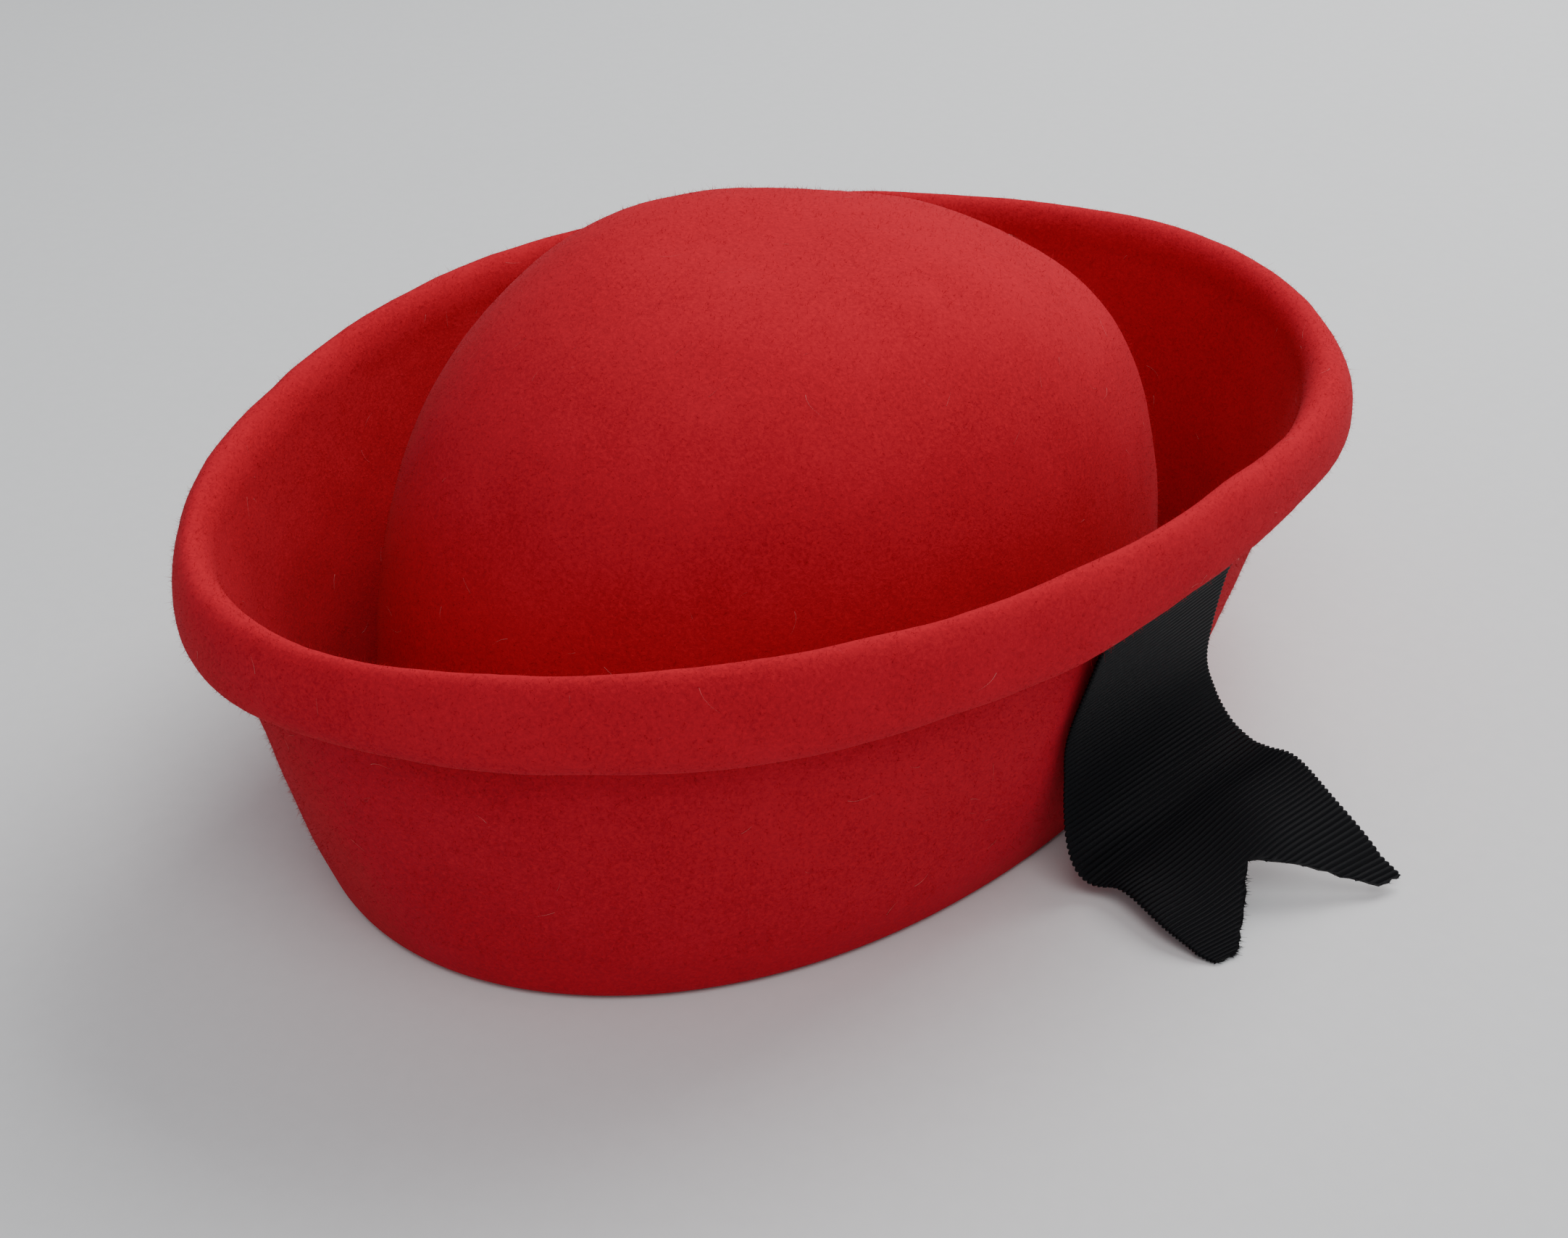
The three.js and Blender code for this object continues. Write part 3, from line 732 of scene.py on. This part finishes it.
# %% Node helper
class Finish:
    """A new material with its Principled shader, and a short way to add nodes to it."""

    def __init__(self, name, **values):
        self.made = bpy.data.materials.new(name)
        self.made.use_nodes = True
        self.tree = self.made.node_tree
        self.shader = self.tree.nodes["Principled BSDF"]
        for socket, value in values.items():
            self.shader.inputs[socket.replace("_", " ")].default_value = value
        self.place = self.node("ShaderNodeTexCoord").outputs["Object"]
        self.map = self.node("ShaderNodeTexCoord").outputs["UV"]

    def node(self, kind, settings=None, **inputs):
        """Add a node; an input is a value, or a socket that is joined to it."""
        node = self.tree.nodes.new(kind)
        for name, value in (settings or {}).items():
            setattr(node, name, value)
        for name, value in inputs.items():
            socket = node.inputs[int(name[1:]) if name[1:].isdigit() else name.replace("_", " ")]
            if isinstance(value, bpy.types.NodeSocket):
                self.tree.links.new(value, socket)
            else:
                socket.default_value = value
        return node

    def noise(self, scale, detail=3, roughness=0.55, distortion=0.0, kind="FBM"):
        """Noise from about 0 to 1 on the piece's own coordinates."""
        settings = {"noise_type": kind, "normalize": True}
        return self.node("ShaderNodeTexNoise", settings, Vector=self.place, Scale=scale, Detail=detail,
                         Roughness=roughness, Distortion=distortion).outputs["Fac"]

    def spread(self, value, low, high, to_low=0.0, to_high=1.0):
        """A value's range from low to high, stretched to run from to_low to to_high, and cut off."""
        return self.node("ShaderNodeMapRange", None, Value=value, From_Min=low, From_Max=high,
                         To_Min=to_low, To_Max=to_high).outputs["Result"]

    def between(self, share, first, second):
        """A colour between two others; at share 0 it is the first one."""
        mix = self.node("ShaderNodeMix", {"data_type": "RGBA"})
        for socket, value in (("Factor", share), (6, first), (7, second)):
            socket = mix.inputs[socket]
            if isinstance(value, bpy.types.NodeSocket):
                self.tree.links.new(value, socket)
            else:
                socket.default_value = value if socket.type == "VALUE" else (*value, 1)
        return mix.outputs[2]

    def maths(self, how, first, second):
        """The sum, product or other result of two values."""
        return self.node("ShaderNodeMath", {"operation": how}, _0=first, _1=second).outputs[0]

    def join(self, socket, value):
        """Join a value to one of the shader's own sockets."""
        self.tree.links.new(value, self.shader.inputs[socket])

    def bump(self, height, strength, distance):
        """Small relief from a height; distance is in metres."""
        bump = self.node("ShaderNodeBump", None, Height=height, Strength=strength, Distance=distance)
        self.join("Normal", bump.outputs["Normal"])


# %% [markdown]
# ## Red wool felt
# Felt is a mat of fine wool fibres that lie in all directions, so it has no weave. Close up it is a
# mottle of about a millimetre, with single paler fibres over it and a few specks of lint. A ridged
# noise gives the fibres, because its ridges are thin wandering lines. Wool scatters light at its
# edges, so a little sheen in the shader makes the surface paler where it turns away.

# %% Felt finish
felt_finish = Finish("red_wool_felt", Roughness=0.93, Sheen_Weight=0.03, Sheen_Roughness=0.45,
                     Sheen_Tint=(1.0, 0.40, 0.46, 1), Specular_IOR_Level=0.06)
mottle = felt_finish.noise(1250, detail=4, roughness=0.65, distortion=0.6)
cloud = felt_finish.noise(42, detail=3)
strands = felt_finish.noise(760, detail=3, roughness=0.6, distortion=1.4, kind="RIDGED_MULTIFRACTAL")
deep_red, bright_red = (0.365, 0.0095, 0.0185), (0.560, 0.0140, 0.0265)
color = felt_finish.between(felt_finish.spread(mottle, 0.3, 0.7), deep_red, bright_red)
color = felt_finish.between(felt_finish.spread(cloud, 0.35, 0.7, 0.0, 0.3), color, (0.58, 0.018, 0.033))
color = felt_finish.between(felt_finish.spread(strands, 0.55, 0.95, 0.0, 0.3), color, (0.67, 0.050, 0.074))
specks = felt_finish.node("ShaderNodeTexVoronoi", {"feature": "F1"}, Vector=felt_finish.place, Scale=48)
few = felt_finish.node("ShaderNodeSeparateColor", None, Color=specks.outputs["Color"]).outputs["Red"]
dot = felt_finish.spread(specks.outputs["Distance"], 0.012, 0.02, 1.0, 0.0)
lint = felt_finish.maths("MULTIPLY", dot, felt_finish.spread(few, 0.74, 0.76, 0.0, 0.7))
color = felt_finish.between(lint, color, (0.75, 0.50, 0.42))
felt_finish.join("Base Color", color)
felt_finish.bump(felt_finish.maths("ADD", mottle, felt_finish.maths("MULTIPLY", strands, 0.5)), 0.28, 0.0004)
felt.data.materials.append(felt_finish.made)
print("felt finish:", len(felt_finish.tree.nodes), "nodes")

# %% [markdown]
# The short fuzz has nearly the felt's own red. The longer hairs are paler than the mat they lie on,
# because light passes through them.

# %% Fibre finishes
fuzz_finish = Finish("red_wool_fibre", Roughness=0.9, Specular_IOR_Level=0.05)
shade = fuzz_finish.spread(fuzz_finish.noise(600), 0.35, 0.65)
fuzz_finish.join("Base Color", fuzz_finish.between(shade, (0.40, 0.009, 0.017), (0.54, 0.018, 0.030)))
for piece in fuzz:
    piece.data.materials.append(fuzz_finish.made)
hair_finish = Finish("pale_wool_hair", Roughness=0.8, Specular_IOR_Level=0.15)
shade = hair_finish.spread(hair_finish.noise(90), 0.4, 0.6)
hair_finish.join("Base Color", hair_finish.between(shade, (0.55, 0.03, 0.045), (0.72, 0.30, 0.28)))
hairs.data.materials.append(hair_finish.made)
print("fuzz and hair finishes:", len(fuzz_finish.tree.nodes) + len(hair_finish.tree.nodes), "nodes")

# %% [markdown]
# ## Black grosgrain
# The weft cords are already in the mesh. Over each cord lie the fine warp threads, side by side
# along the ribbon, so the finish only adds those: a wave across the ribbon's own UV map, where one
# unit is the ribbon's width. The black is never full black, and its gloss is soft.

# %% Ribbon finish
ribbon_finish = Finish("black_grosgrain", Roughness=0.55, Specular_IOR_Level=0.11)
warp = ribbon_finish.node("ShaderNodeTexWave", {"wave_type": "BANDS", "bands_direction": "X"},
                          Vector=ribbon_finish.map, Scale=55, Distortion=0.6, Detail=1).outputs["Fac"]
dust = ribbon_finish.noise(1400, detail=3)
color = ribbon_finish.between(warp, (0.0018, 0.0017, 0.0024), (0.0046, 0.0044, 0.0058))
color = ribbon_finish.between(ribbon_finish.spread(dust, 0.62, 0.8, 0.0, 0.35), color, (0.022, 0.022, 0.026))
ribbon_finish.join("Base Color", color)
ribbon_finish.bump(warp, 0.3, 0.0002)
ribbon.data.materials.append(ribbon_finish.made)
thread_finish = Finish("black_thread_ends", Roughness=0.7, Specular_IOR_Level=0.2)
shade = thread_finish.spread(thread_finish.noise(700), 0.4, 0.6)
thread_color = thread_finish.between(shade, (0.004, 0.004, 0.005), (0.015, 0.015, 0.017))
thread_finish.join("Base Color", thread_color)
cut_threads.data.materials.append(thread_finish.made)
print("ribbon and thread finishes:", len(ribbon_finish.tree.nodes) + len(thread_finish.tree.nodes), "nodes")

# %% [markdown]
# ## Pale floor
# Matt painted board with a hardly visible grain and wide, faint clouds.

# %% Floor finish
floor_finish = Finish("pale_board", Roughness=0.75, Specular_IOR_Level=0.25)
grain = floor_finish.noise(220, detail=4)
stain = floor_finish.noise(9, detail=4)
pale, paler = (0.765, 0.765, 0.765), (0.785, 0.785, 0.785)
color = floor_finish.between(floor_finish.spread(grain, 0.3, 0.7), pale, paler)
color = floor_finish.between(floor_finish.spread(stain, 0.55, 0.8, 0.0, 0.25), color, (0.70, 0.70, 0.705))
floor_finish.join("Base Color", color)
floor.data.materials.append(floor_finish.made)
print("floor finish:", len(floor_finish.tree.nodes), "nodes")

# %% [markdown]
# ## Sizes of both boxes
# The visual model has to stay in the imported model's box, so both boxes are kept for comparing.

# %% Finish
sizes = {"cad": [list(corner) for corner in cad_box], "visual": [list(corner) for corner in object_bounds()]}
difference = np.abs(np.subtract(sizes["cad"], sizes["visual"])).max() / MM
print("largest difference between the two boxes:", round(float(difference), 2), "mm")
